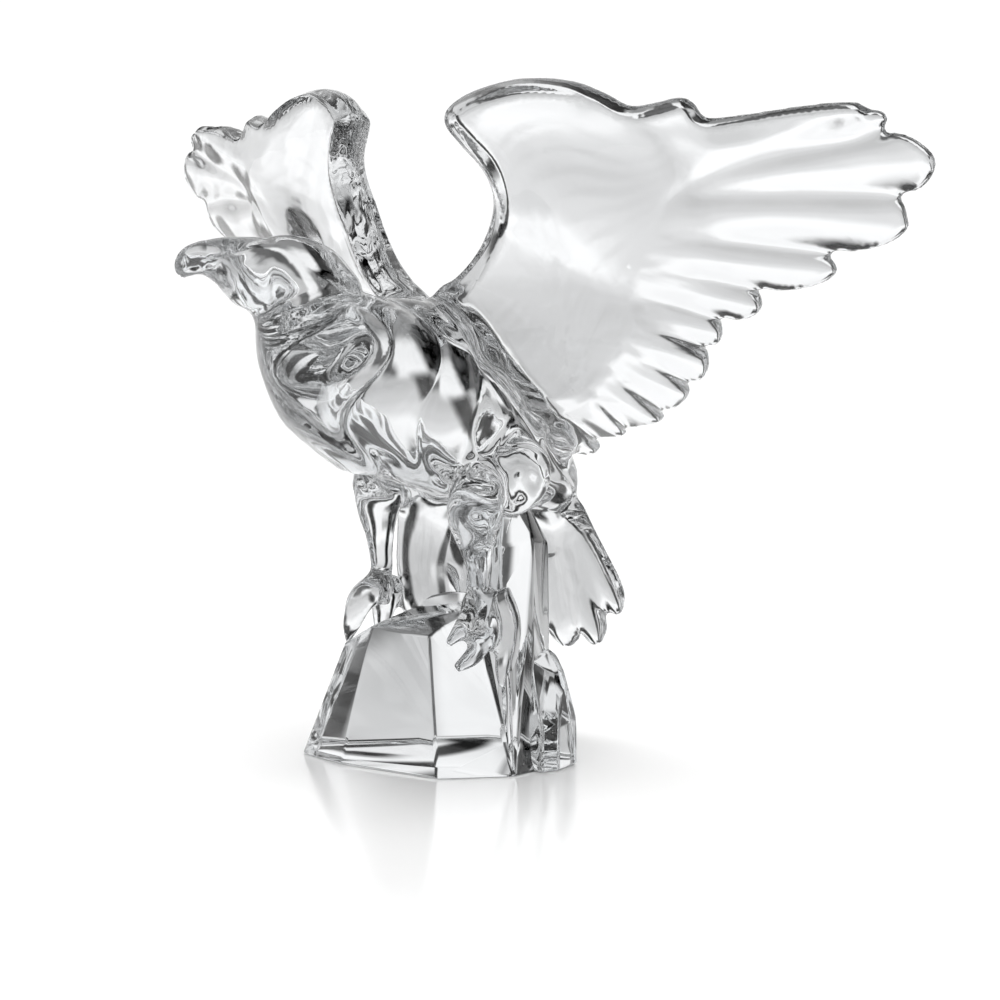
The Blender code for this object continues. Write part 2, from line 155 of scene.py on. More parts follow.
# The wing's fold sets back its inner edge: centre (sideways, up), reach, depth
WING_FOLD = ((30, 132), 22.0, 9.0)
# The wing thins from the wrist out to the hand, between these places sideways
HAND_STARTS = 60.0
HAND_ENDS = 115.0

# Raised covert lobes: centre (sideways, up), radii, turn in degrees
COVERT_LOBES = (
    ((44, 148), (23, 22), 20.0),
    ((66, 137), (22, 30), 35.0),
)
COVERT_SOFTNESS = 20.0

# The body, the wing roots and the legs reach this far, in half widths
BODY_REACH = 1.35
ROOT_REACH = 2.2
LIMB_REACH = 1.5

# The body is modelled in soft flowing lobes, with creases between them that wander
LOBE_DEPTH = 1.6 * MM
LOBE_LENGTH = 18.0 * MM
LOBE_WAY = (0.2, 0.85, 0.45)
LOBE_CREASE = 0.3
WANDER = 7.0 * MM
WANDER_LENGTHS = (34.0 * MM, 60.0 * MM)
WANDERS = 5
WANDER_SEED = 7
# Broad soft undulations of the wings and of all else that has no lobes
SWAY_DEPTH = 0.35 * MM
SWAY_LENGTHS = (24.0 * MM, 46.0 * MM)
SWAYS = 8

# Body parts, as rows of (x, y, up, half width, half height), in shares
TRUNK = (
    (0, 56, 24, 6, 2), (0, 57, 31, 10, 5), (0, 54, 39.5, 13.5, 9.5), (0, 44, 48, 17, 15),
    (0, 28, 54, 20, 19), (0, 10, 62, 23, 22), (0, -10, 71, 26, 25), (0, -29, 78, 26.5, 27.5),
    (-1, -43, 85, 24.5, 25), (-3, -52, 94, 20, 19.5), (-4.5, -57, 103, 16, 16),
    (-6, -60, 110, 13, 13), (-7, -62, 115, 8, 8),
)
MANTLE = (
    (0, 22, 70, 10, 8), (0, 8, 80, 16, 13), (0, -8, 88, 20, 15), (0, -26, 92, 19, 14),
    (0, -44, 99, 13, 10),
)
# A soft fillet where each wing leaves the body
WING_ROOT = (
    (8, -10, 102, 4, 4), (14.5, -4, 96, 5, 5), (16.3, 4, 87.3, 5.5, 5.5), (16.3, 14, 79, 5.5, 5.5),
    (16.2, 26, 69.6, 5.5, 5.5), (15, 38, 62, 5, 5), (11.5, 50, 55, 4, 4),
)

# The head is set along its own facing: rows of (ahead, up, half width, half height)
HEAD_PLACE = (-6.0, -61.5)
HEAD_TURN = 40.0
HEAD = (
    (-18, 103, 6, 7), (-13.5, 107, 11, 9.8), (-7.5, 110.5, 13.3, 12.2), (0, 112, 14, 12.6),
    (7.5, 113, 12.8, 12), (13.5, 115.5, 10.2, 9.6), (18, 117.3, 7.6, 7.4), (22.5, 118.2, 5.3, 5.5),
    (25.5, 118.3, 4.4, 4.4), (28.5, 117, 3.4, 4), (30.5, 115.3, 2.2, 2.8), (31.5, 113.6, 0.8, 1.2),
)
BROW = (
    (-1, 119, 1.2, 1.2), (4, 120.3, 2.4, 2.0), (9, 120.6, 2.6, 2.1), (14, 119.6, 2.0, 1.7),
    (17, 118.3, 1, 1),
)
BROW_OFFSET = 8.2

# Left hip and both legs; the right leg stands a little behind the left
HIP = (
    (11, 16, 55, 8, 9), (17, 12, 51, 12.8, 12.6), (22.5, 9.3, 48.7, 13.6, 13.2),
    (26.3, 7.4, 47.3, 12.2, 12), (28.3, 6.5, 46.7, 9.5, 9.3), (29.3, 6, 46.4, 5.5, 5.3),
    (29.6, 5.9, 46.3, 2, 2),
)
LEFT_LEG = (
    (19, -3, 50, 5, 6), (21.5, -6, 45.5, 7.5, 8), (23, -8, 40.5, 9, 9.6), (23.5, -8.3, 34.5, 8.4, 8.8),
    (23, -7.3, 28, 5.6, 6), (21.8, -5.2, 21, 3.9, 4), (20.6, -3.4, 16, 3.5, 3.5),
    (19.8, -2, 11, 4.4, 4.4), (19.2, -0.8, 6, 5, 5), (18.5, 0, 0, 5, 5),
)
RIGHT_LEG = (
    (-17, -6, 52, 5, 6), (-19.5, -6.5, 47, 7.5, 8.5), (-20.5, -5.5, 42, 7.8, 8.2),
    (-20.5, -5.5, 35, 6.6, 7), (-20, -5.3, 28, 4.9, 5), (-20, -4.8, 21, 3.8, 3.8),
    (-20, -4.8, 16, 3.5, 3.5), (-20.5, -6, 12, 4.4, 4.6), (-21, -7, 6, 4.8, 4.8),
)
# A stout prop of the same glass, from the belly to the perch behind the right leg
PROP = (
    (-7, 14, 52, 13, 9), (-10, 14.5, 44, 16.5, 9.5), (-12, 14.5, 36, 16.5, 8.5),
    (-12.5, 14, 27, 16.2, 7.5), (-12.5, 13.5, 18, 16, 7.5), (-12, 13.5, 10, 15.2, 8),
    (-11.5, 13.5, 3, 14.5, 8), (-10.5, 13.5, -4, 11.5, 6),
)
LEFT_TOES = (
    ((20, -1.5, 13, 4, 4), (19.5, -4, 9, 4.4, 4.6), (18, -5.2, 4.3, 4, 4),
     (15.6, -7.6, -0.5, 3, 3.2), (12.3, -9.3, -3.9, 1.3, 1.4)),
    ((21, 0.5, 10, 4, 4), (22, -0.8, 3.8, 4.2, 4.4), (21.7, -2.6, -2.7, 3.8, 4),
     (19.4, -6.2, -8, 3, 3.2), (15.8, -9, -11.4, 1.3, 1.5)),
    ((21.5, 2.5, 12, 5, 5), (24, 4.8, 3.7, 5, 5), (25, 5, -4.3, 4.6, 4.6),
     (25.8, 3, -12.3, 3.5, 3.5), (26, 1.2, -18, 1.2, 1.2)),
)
RIGHT_TOES = (
    ((-20, -3, 13, 4, 4), (-21, -8, 10.5, 4.6, 4.6), (-22.5, -12.5, 6.5, 4.2, 4.4),
     (-24.5, -14, 0, 3.4, 3.6), (-27, -13, -5, 2, 2.2), (-29.5, -11, -8.5, 0.9, 1)),
    ((-20, -2, 12, 4, 4), (-24, -5, 10, 4.4, 4.6), (-27, -8, 5.5, 4.2, 4.4), (-29, -9, -1, 3.2, 3.4),
     (-32, -8.5, -6.5, 1, 1.2)),
    ((-21, 0, 12, 4, 4), (-25, 3, 7.5, 4.4, 4.6), (-28, 5, 2, 3.8, 4), (-30, 6, -4, 2.6, 2.8),
     (-31.5, 6, -9, 1, 1.2)),
)

# Tail feathers: how far the tip lies sideways, how far it drops, half width, in shares
TAIL_FEATHERS = ((0.0, 56.0, 10.5), (13.5, 54.0, 8.5), (23.0, 43.0, 7.0))
TAIL_ROOT = (54.0, 41.0)
TAIL_LEAN = 13.0
# Shares of its tip's own spread, width and thickness that a tail feather has at its root
TAIL_GATHER = 0.35
TAIL_ROOT_WIDTH = 0.55
TAIL_ROOT_THICKNESS = 1.33
# The outer feathers lie further forward and turn their faces outwards
TAIL_SWEEP = 0.06
TAIL_TWIST = 0.25
# The rounded tip starts at this share of the length and ends at this share of the width
TAIL_TIP_STARTS = 0.72
TAIL_TIP_BLUNT = 0.2

# Rock outlines on the ground, as shares of its width and depth
ROCK_FOOT = (
    (-0.517, -0.29), (-0.258, -0.35), (0.212, -0.309), (0.405, -0.029), (0.42, 0.34), (0.16, 0.60),
    (-0.10, 0.64), (-0.52, 0.15),
)
PILLAR_FOOT = (
    (0.405, -0.029), (0.40, 0.12), (0.335, 0.36), (0.14, 0.60), (-0.06, 0.48), (0.10, 0.0),
)
STEP_FOOT = (
    (0.367, 0.11), (0.441, 0.127), (0.467, 0.217), (0.44, 0.40), (0.34, 0.48), (0.24, 0.30),
)
# The step's shoulder and top, as shares of the rock's width and depth and of the step's height
STEP_CROWN = (
    (0.367, 0.11, 0.34), (0.441, 0.127, 0.36), (0.467, 0.217, 0.38), (0.44, 0.40, 0.40),
    (0.35, 0.18, 0.92), (0.398, 0.262, 0.82), (0.402, 0.36, 0.80), (0.325, 0.40, 0.97),
    (0.276, 0.295, 0.98),
)
# Top corners that carry the feet, and those of the pillar that ends inside the belly, placed
# from the perch in shares, because they fit the bird
PERCH_CROWN = (
    (-16, -13.6, -0.3), (6.9, -12.3, -1.7), (14, -0.4, 5.9), (16.6, 19.8, 10.8), (-10.8, 26.5, 9),
    (-27.4, 13.2, 0), (-29.4, -12.8, -7.4),
)
PILLAR_CROWN = (
    (21.6, 5.3, 26.3), (25.7, 17.2, 28), (20.8, 31, 25.4), (5, 37.6, 27.2), (-2.5, 25.1, 29.8),
    (5, 9.2, 29.8), (16.6, 13.2, 43), (16.6, 22.4, 43), (6.6, 22.4, 43),
)

# The crystal: how it bends light, its grey in the thick, and the ripple that polishing leaves
REFRACTION = 1.54
THICK_GREY = (0.5, 0.52, 0.53, 1.0)
GREY_DENSITY = 3.0
RIPPLES_PER_METRE = 60.0
RIPPLE_DETAIL = 1.0
RIPPLE_ROUGHNESS = 0.55
RIPPLE_STRENGTH = 0.06
RIPPLE_HEIGHT = 0.3 * MM
# The ripple's crests are hazed by this roughness
HAZE_STARTS = 0.45
HAZE_FULL = 0.75
HAZE_ROUGHNESS = 0.012

# The floor and the camera
FLOOR_RADIUS = 4.0
FLOOR_SIDES = 96
FLOOR_GAP = 0.1 * MM
FLOOR_WHITE = (0.95, 0.95, 0.95, 1.0)
FLOOR_ROUGHNESS = 0.15
FLOOR_GLOSS = 0.8
CAMERA_AIM = Vector((9.7 * MM, 19.7 * MM, 84.4 * MM))
CAMERA_AWAY = 842.4 * MM
CAMERA_AZIMUTH = 40.0
CAMERA_ELEVATION = 6.0
CAMERA_LENS = 93.6
CAMERA_SENSOR = 36.0
CAMERA_NEAR = 0.01
CAMERA_FAR = 100.0

# The studio
LIGHT_BOUNCES = 12
BACKDROP_LIGHT = 1.05
# The room as the glass sees it: light of the wall by height, from straight down to straight up
WALL_LIGHT = (
    (0.0, 0.2), (0.18, 0.25), (0.25, 0.9), (0.35, 0.95), (0.40, 0.52), (0.46, 0.62), (0.50, 0.72),
    (0.54, 0.97), (0.59, 0.92), (0.71, 0.85), (0.86, 0.85), (0.93, 0.4), (1.0, 0.3),
)
# A dark rail runs round the room above the horizon: how dark it is by height, and where its
# evenly spaced gaps stand and how they open, on the wave that goes round the room
RAIL_HEIGHTS = ((0.57, 0.0), (0.61, 0.7), (0.635, 1.0), (0.67, 1.0), (0.705, 0.1), (0.72, 0.0))
RAIL_GAPS = 4
RAIL_GAP_AT = -32.0
RAIL_GAP_STARTS = 0.15
RAIL_GAP_FULL = 0.55
# Below the horizon, dark cards stand round the room: levels along one turn of the pattern, which
# repeats evenly, with the heights where they fade out
CARDS = 4
CARD_AT = -100.0
CARD_LEVELS = (
    (0.0, 0.65), (0.05, 0.65), (0.10, 0.0), (0.45, 0.0), (0.515, 1.0), (0.65, 1.0), (0.70, 0.1),
    (0.76, 0.1), (0.83, 0.65), (1.0, 0.65),
)
CARD_TOP_FULL = -0.32
CARD_TOP_ENDS = -0.20
# Cards and flags lean by this many radians for each unit of height, about their own levels
CARD_LEAN = 0.5
CARD_MIDDLE = -0.4
FLAG_LEAN = 0.6
FLAG_MIDDLE = 0.04
# Narrow dark flags stand round the room, evenly spaced, and only the glass shows them: how they
# close, on the wave that goes round the room, and the share of light that they let through
FLAGS = 8
FLAG_AT = 23.5
FLAG_STARTS = 0.25
FLAG_FULL = 0.9
FLAG_LEVEL = 0.0
# A soft box overhead, which lights the floor
SOFT_BOX_STARTS = 0.90
SOFT_BOX_FULL = 0.93
SOFT_BOX_LIGHT = 4.7
ROOM_LIGHT = 1.12


def through(rows, steps):
    """Rows of numbers, read along a smooth curve that passes through each given row."""
    rows = np.array(rows, float)
    last = len(rows) - 1
    t = (np.arange(steps) / steps)[:, None]
    read = []
    for i in range(last):
        a, b, c, d = (rows[j] for j in (max(i - 1, 0), i, i + 1, min(i + 2, last)))
        read.append(b + 0.5 * t * (c - a + t * (2 * a - 5 * b + 4 * c - d + t * (3 * (b - c) + d - a))))
    read.append(rows[last:])
    return np.concatenate(read)


def on_perch(x, y, up):
    """Places given in shares from the perch, in metres."""
    return np.stack(np.broadcast_arrays(x * SHARE, y * SHARE, PERCH_HEIGHT + up * SHARE), axis=-1)


def unit(vectors):
    """Vectors brought to a length of one."""
    return vectors / np.linalg.norm(vectors, axis=-1, keepdims=True)


class Shells:
    """Overlapping closed shells, gathered as one list of places and faces."""

    def __init__(self):
        self.places = []
        self.faces = []
        self.count = 0

    def add(self, places, faces):
        self.places.append(places)
        self.faces += [tuple(corner + self.count for corner in face) for face in faces]
        self.count += len(places)

    def mesh(self, name):
        mesh = bpy.data.meshes.new(name)
        mesh.from_pydata(np.concatenate(self.places).tolist(), [], self.faces)
        return mesh


def limb(shells, rows, side=(1, 0, 0), steps=LIMB_STEPS, facets=LIMB_FACETS):
    """A closed tube of oval section through rows of (x, y, up, half width, half height)."""
    stations = through(rows, steps)
    centres = on_perch(stations[:, 0], stations[:, 1], stations[:, 2])
    padded = np.concatenate([centres[:1], centres, centres[-1:]])
    along = unit(padded[2:] - padded[:-2])
    across = np.array(side, float) - along * (along @ np.array(side, float))[:, None]
    across = unit(across)
    rise = np.cross(along, across)
    turn = 2 * math.pi * np.arange(facets) / facets
    reach = (across[:, None] * np.cos(turn)[None, :, None] * stations[:, 3, None, None]
             + rise[:, None] * np.sin(turn)[None, :, None] * stations[:, 4, None, None])
    places = (centres[:, None] + reach * SHARE).reshape(-1, 3)
    faces = []
    for ring in range(len(stations) - 1):
        low = ring * facets
        for k in range(facets):
            after = (k + 1) % facets
            faces.append((low + k, low + after, low + facets + after, low + facets + k))
    faces.append(tuple(range(facets - 1, -1, -1)))
    faces.append(tuple(range((len(stations) - 1) * facets, len(stations) * facets)))
    shells.add(places, faces)


def wing_depth(x, up):
    """How far back the wing's middle surface lies at places on it."""
    across = x / 100.0
    rise = (up - WING_BOW_LEVEL) / 100.0
    terms = (1.0, across, rise, across * rise, across * across, rise * rise)
    (fold_x, fold_up), reach, depth = WING_FOLD
    fold = depth * np.exp(-((x - fold_x) ** 2 + (up - fold_up) ** 2) / reach ** 2)
    return sum(a * b for a, b in zip(WING_BOW, terms)) + fold


def wing_normal(x, up):
    """Unit normals of the wing's middle surface, on its back side."""
    slope_x = wing_depth(x + 0.5, up) - wing_depth(x - 0.5, up)
    slope_up = wing_depth(x, up + 0.5) - wing_depth(x, up - 0.5)
    return unit(np.stack([-slope_x, np.ones_like(slope_x), -slope_up], axis=-1))


def rim_distance(x, up, outline):
    """Shortest ways from places on the wing to its outline."""
    best = np.full(x.shape, math.inf)
    for start, end in zip(np.roll(outline, 1, axis=0), outline):
        run = end - start
        span = run @ run
        if span > 0.0:
            t = np.clip(((x - start[0]) * run[0] + (up - start[1]) * run[1]) / span, 0.0, 1.0)
            best = np.minimum(best, np.hypot(x - start[0] - run[0] * t, up - start[1] - run[1] * t))
    return best


def covert_relief(x, up):
    """How far the covert lobes stand proud at places on the wing, from 0 to 1."""
    relief = np.zeros_like(x)
    for (middle_x, middle_up), (radius_x, radius_up), turn in COVERT_LOBES:
        a = math.radians(turn)
        dx = (x - middle_x) * math.cos(a) + (up - middle_up) * math.sin(a)
        dup = (up - middle_up) * math.cos(a) - (x - middle_x) * math.sin(a)
        away = np.hypot(dx / radius_x, dup / radius_up)
        relief = np.maximum(relief, 1.0 / (1.0 + np.exp((away - 1.0) * COVERT_SOFTNESS)))
    return relief


def smooth_step(low, high, value):
    """A soft rise from 0 at the low value to 1 at the high one."""
    part = np.clip((value - low) / (high - low), 0.0, 1.0)
    return part * part * (3 - 2 * part)


def arm_thickness(x):
    """Thickness at the feather roots, which thins from the wrist out to the hand."""
    return WING_THICKNESS + (HAND_THICKNESS - WING_THICKNESS) * smooth_step(HAND_STARTS, HAND_ENDS, x)


def feather_rim(before, tip, notch, root, u):
    """Places along a feather's rounded end, which passes through its tip half way along."""
    ahead = unit(tip - root)
    first = u <= 0.5
    s = np.where(first, 2 * u, 2 * u - 1)
    start = np.where(first, before, tip)
    run = np.where(first, tip, notch) - start
    out = (run @ ahead)[:, None] * ahead
    rise = np.sin(0.5 * math.pi * s)
    fall = 1.0 - np.cos(0.5 * math.pi * s)
    oval = out * np.where(first, rise, fall) + (run - out) * np.where(first, fall, rise)
    return start + TIP_ROUNDNESS * oval + (1 - TIP_ROUNDNESS) * run * s


def wing_columns():
    """Columns across the wing: roots, bends, rims, places within the feather, rim thicknesses."""
    roots = through(FEATHER_ROOTS, FEATHER_COLUMNS)
    edge = through(WING_EDGE, EDGE_COLUMNS)
    arm = through(WING_ARM, EDGE_COLUMNS)
    order = (1.0 - np.arange(len(edge)) / (len(edge) - 1)) * (len(roots) - 1)
    edge_roots = np.stack([np.interp(order, np.arange(len(roots)), roots[:, k]) for k in (0, 1)], axis=-1)
    feather_rims = []
    within = []
    before = np.array(WING_EDGE[-1], float)
    u = (np.arange(1, FEATHER_COLUMNS + 1) / FEATHER_COLUMNS)[:, None]
    ends = np.array(FEATHER_ROOTS, float)
    middles = 0.5 * (ends[:-1] + ends[1:])
    tips = np.array(FEATHER_TIPS, float)
    notches = np.array(FEATHER_NOTCHES, float)
    for tip, notch, middle in zip(tips, notches, middles):
        feather_rims.append(feather_rim(before, tip, notch, middle, u))
        within.append(u[:, 0])
        before = notch
    feather_rims = np.concatenate(feather_rims)
    feather_roots = roots[1:]
    feather_bends = feather_roots + (feather_rims - feather_roots) * ROW_BEND
    return (
        np.concatenate([edge_roots, feather_roots]),
        np.concatenate([arm, feather_bends]),
        np.concatenate([edge, feather_rims]),
        np.concatenate([np.full(len(edge), np.nan)] + within),
        np.concatenate([arm_thickness(edge[:, 0]), np.full(len(feather_rims), FEATHER_TIP_THICKNESS)]),
    )


def wing(shells, hand):
    """One wing as a closed shell: front and back rows from the feather roots out to the rim."""
    root, bend, rim, within, rim_thickness = wing_columns()
    t = np.sin(math.pi / 2 * np.arange(WING_ROWS + 1) / WING_ROWS)[None, :, None]
    inner = root[:, None] + (bend - root)[:, None] * np.minimum(t / ROW_BEND, 1.0)
    outer = (rim - bend)[:, None] * np.clip((t - ROW_BEND) / (1 - ROW_BEND), 0.0, 1.0)
    x, up = np.moveaxis(inner + outer, -1, 0)
    out = t[..., 0]
    root_thickness = arm_thickness(root[:, 0])[:, None]
    half = 0.5 * (root_thickness + (rim_thickness[:, None] - root_thickness) * out)
    inset = np.minimum(1.0, rim_distance(x, up, rim) * SHARE / half)
    round_over = np.sqrt(np.minimum(1.0, inset / RIM_BLUNT)) * RIM_EDGE
    round_over = np.minimum(1.0, round_over + (1.0 - RIM_EDGE) * inset / RIM_WIDTH)
    half = half + COVERT_RAISE * covert_relief(x, up)
    u = np.nan_to_num(within, nan=0.0)[:, None]
    fluted = np.isfinite(within)[:, None]
    crest = np.sin(math.pi * u ** CREST_LEAN) - 0.5
    between_feathers = np.exp(-(np.minimum(u, 1 - u) / GROOVE_WIDTH) ** 2)
    between_feathers = between_feathers * smooth_step(GROOVE_STARTS, 1.0, out)
    flute = np.minimum(FLUTE_DEPTH, FLUTE_SHARE * half) * crest * np.minimum(1.0, out / FLUTES_FULL)
    half = half + np.where(fluted, flute, 0.0)
    half = half * (1.0 - np.where(fluted, GROOVE_SHARE * between_feathers, 0.0))
    offset = wing_normal(x, up) * (half * round_over)[..., None]
    middle = on_perch(x, wing_depth(x, up), up)
    columns = len(root)
    rows = WING_ROWS + 1
    turned = np.array([hand, 1.0, 1.0])
    front = ((middle - offset) * turned).reshape(-1, 3)
    back = ((middle + offset) * turned).reshape(-1, 3)
    faces = []
    for i in range(columns):
        after = (i + 1) % columns
        for k in range(WING_ROWS):
            corners = (i * rows + k, after * rows + k, after * rows + k + 1, i * rows + k + 1)
            faces.append(corners)
            faces.append(tuple(corner + len(front) for corner in reversed(corners)))
    shells.add(np.concatenate([front, back]), faces)


def tail_feather(shells, sideways, drop, half_width):
    """One tail feather, hanging from the tail's root to a rounded tip."""
    root_y, root_up = TAIL_ROOT
    rows = []
    for k in range(TAIL_ROWS + 1):
        t = k / TAIL_ROWS
        out = sideways * (TAIL_GATHER + (1 - TAIL_GATHER) * t)
        back = root_y + TAIL_LEAN * t - TAIL_SWEEP * abs(out)
        past = max(0.0, t - TAIL_TIP_STARTS) / (1.0 - TAIL_TIP_STARTS)
        tip = max(TAIL_TIP_BLUNT, math.sqrt(1.0 - past * past))
        width = half_width * (TAIL_ROOT_WIDTH + (1 - TAIL_ROOT_WIDTH) * t) * tip
        thick = TAIL_THICKNESS * (TAIL_ROOT_THICKNESS + (1 - TAIL_ROOT_THICKNESS) * t)
        rows.append((out, back, root_up - drop * t, width, 0.25 * thick * (1 + tip) / SHARE))
    limb(shells, rows, side=(1, 0, math.copysign(TAIL_TWIST, sideways)), steps=TAIL_STEPS)


def mirrored(rows):
    """The same rows on the bird's other side."""
    return [(-row[0], *row[1:]) for row in rows]


def facing(rows, offset=0.0):
    """Rows given along the head's facing, as rows of the bird's own frame."""
    turn = math.radians(HEAD_TURN)
    ahead = (-math.sin(turn), -math.cos(turn))
    across = (math.cos(turn), -math.sin(turn))
    return [(HEAD_PLACE[0] + ahead[0] * row[0] + across[0] * offset,
             HEAD_PLACE[1] + ahead[1] * row[0] + across[1] * offset, *row[1:]) for row in rows]


def bird_shells():
    """Trunk, head, legs, wings and tail as overlapping closed shells, for one skin over them."""
    shells = Shells()
    turn = math.radians(HEAD_TURN)
    across_head = (math.cos(turn), -math.sin(turn), 0)
    limb(shells, TRUNK, facets=2 * LIMB_FACETS)
    limb(shells, MANTLE, facets=2 * LIMB_FACETS)
    limb(shells, facing(HEAD), side=across_head, facets=2 * LIMB_FACETS)
    for hand in (1, -1):
        limb(shells, facing(BROW, hand * BROW_OFFSET), side=across_head)
    for rows in (WING_ROOT, mirrored(WING_ROOT), HIP, mirrored(HIP), LEFT_LEG, RIGHT_LEG, PROP):
        limb(shells, rows)
    for rows in LEFT_TOES + RIGHT_TOES:
        limb(shells, rows)
    for hand in (1, -1):
        wing(shells, hand)
        for sideways, drop, half_width in TAIL_FEATHERS[1:]:
            tail_feather(shells, hand * sideways, drop, half_width)
    tail_feather(shells, *TAIL_FEATHERS[0])
    bm = bmesh.new()
    rough = shells.mesh("bird_shells")
    bm.from_mesh(rough)
    bmesh.ops.remove_doubles(bm, verts=bm.verts, dist=SEAM_REACH)
    bmesh.ops.recalc_face_normals(bm, faces=bm.faces)
    bm.to_mesh(rough)
    bm.free()
    return rough


def apply_modifiers(holder):
    """Makes an object's modifiers part of its mesh, and gives back the mesh."""
    graph = bpy.context.evaluated_depsgraph_get()
    made = bpy.data.meshes.new_from_object(holder.evaluated_get(graph))
    holder.modifiers.clear()
    holder.data = made
    return made


def read_places(mesh):
    """The places of a mesh's corners, one row each."""
    places = np.empty(len(mesh.vertices) * 3)
    mesh.vertices.foreach_get("co", places)
    return places.reshape(-1, 3)


def read_normals(mesh):
    """The normals at a mesh's corners, one row each."""
    normals = np.empty(len(mesh.vertices) * 3)
    mesh.vertex_normals.foreach_get("vector", normals)
    return normals.reshape(-1, 3)


def set_places(mesh, places):
    mesh.vertices.foreach_set("co", places.ravel())
    mesh.update()


def held(name, mesh):
    """A new object in the scene that holds a mesh."""
    holder = bpy.data.objects.new(name, mesh)
    bpy.context.scene.collection.objects.link(holder)
    return holder


def polish(mesh):
    """Softens the skin: wide fillets where parts meet, a polish everywhere, more on the body."""
    places = read_places(mesh)
    edges = np.empty(len(mesh.edges) * 2, int)
    mesh.edges.foreach_get("vertices", edges)
    one, other = edges.reshape(-1, 2).T
    count = len(places)
    neighbours = np.bincount(one, minlength=count) + np.bincount(other, minlength=count)

    def mean_around(values):
        total = np.zeros_like(values)
        for axis in range(values.shape[1]):
            total[:, axis] = (np.bincount(one, values[other, axis], count)
                              + np.bincount(other, values[one, axis], count))
        return total / neighbours[:, None]

    hollow = np.einsum("ij,ij->i", mean_around(places) - places, read_normals(mesh))
    share = np.clip(hollow / FILLET_BEND - FILLET_STARTS, 0.0, 1.0)[:, None]
    for _ in range(FILLET_SPREAD):
        share = np.maximum(share, mean_around(share) * FILLET_GROWTH)
    share = np.clip(share, 0.0, 1.0)
    for _ in range(FILLET_BLURS):
        share = mean_around(share)
    for _ in range(FILLET_PASSES):
        places += POLISH_IN * share * (mean_around(places) - places)
    for _ in range(POLISH_PASSES):
        places += POLISH_IN * (mean_around(places) - places)
        places -= POLISH_OUT * (mean_around(places) - places)
    share = near(places, (WING_ROOT, mirrored(WING_ROOT)), ROOT_REACH)
    share = np.maximum(share, near(places, (TRUNK, MANTLE, HIP, mirrored(HIP)), BODY_REACH))[:, None]
    for _ in range(BODY_POLISH_PASSES):
        places += POLISH_IN * share * (mean_around(places) - places)
        places -= POLISH_OUT * share * (mean_around(places) - places)
    set_places(mesh, places)


def near(places, limbs, reach):
    """How far places belong to some limbs, from 0 to 1: none beyond this many half widths."""
    best = np.full(len(places), math.inf)
    for rows in limbs:
        for x, y, up, wide, high in through(rows, NEAR_STEPS):
            away = np.linalg.norm(places - on_perch(x, y, up), axis=1)
            best = np.minimum(best, away / (SHARE * max(wide, high)))
    return 1.0 - smooth_step(1.0, reach, best)


def flowing_lobes(mesh):
    """Models the body in soft lobes that flow round it, and sways the wings and the rest a little."""
    places = read_places(mesh)
    normals = read_normals(mesh)
    draw = np.random.default_rng(WANDER_SEED)
    wander = np.zeros_like(places)
    for _ in range(WANDERS):
        way = unit(draw.normal(size=3)) * 2 * math.pi / draw.uniform(*WANDER_LENGTHS)
        swing = np.sin(places @ way + draw.uniform(0, 2 * math.pi))
        wander += swing[:, None] * unit(draw.normal(size=3))
    along = (places + WANDER * wander) @ unit(np.array(LOBE_WAY))
    lobes = np.sqrt(np.sin(math.pi * along / LOBE_LENGTH) ** 2 + LOBE_CREASE ** 2)
    depth = LOBE_DEPTH * (lobes - lobes.mean())
    limbs = (HIP, mirrored(HIP), LEFT_LEG, RIGHT_LEG)
    share = near(places, (TRUNK, MANTLE), BODY_REACH) * (1.0 - near(places, limbs, LIMB_REACH))
    sway = np.zeros(len(places))
    for _ in range(SWAYS):
        way = unit(draw.normal(size=3)) * 2 * math.pi / draw.uniform(*SWAY_LENGTHS)
        sway += np.sin(places @ way + draw.uniform(0, 2 * math.pi))
    sway *= SWAY_DEPTH / math.sqrt(SWAYS)
    places += normals * (depth * share + sway * (1.0 - share))[:, None]
    set_places(mesh, places)


def on_ground(outline):
    """A rock outline's corners on the ground, in metres."""
    return [(x * ROCK_WIDTH, y * ROCK_DEPTH, 0.0) for x, y in outline]


def rock_block(name, foot, crown):
    """A faceted block: the hull of its foot's and crown's corners, with softened edges."""
    bm = bmesh.new()
    for corner in on_ground(foot) + crown:
        bm.verts.new(corner)
    bmesh.ops.convex_hull(bm, input=bm.verts)
    flat = math.radians(ROCK_FLAT_ANGLE)
    bmesh.ops.dissolve_limit(bm, angle_limit=flat, verts=bm.verts, edges=bm.edges)
    bmesh.ops.bevel(bm, geom=bm.edges, offset=ROCK_EDGE_ROUND, segments=ROCK_EDGE_STEPS, profile=0.5,
                    affect="EDGES", clamp_overlap=True)
    bmesh.ops.recalc_face_normals(bm, faces=bm.faces)
    mesh = bpy.data.meshes.new(name)
    bm.to_mesh(mesh)
    bm.free()
    return held(name, mesh)


def fuse(holder, other):
    """Unites two closed bodies and keeps the first."""
    union = holder.modifiers.new("union", "BOOLEAN")
    union.operation = "UNION"
    union.solver = "EXACT"
    union.object = other
    apply_modifiers(holder)
    bpy.data.objects.remove(other, do_unlink=True)


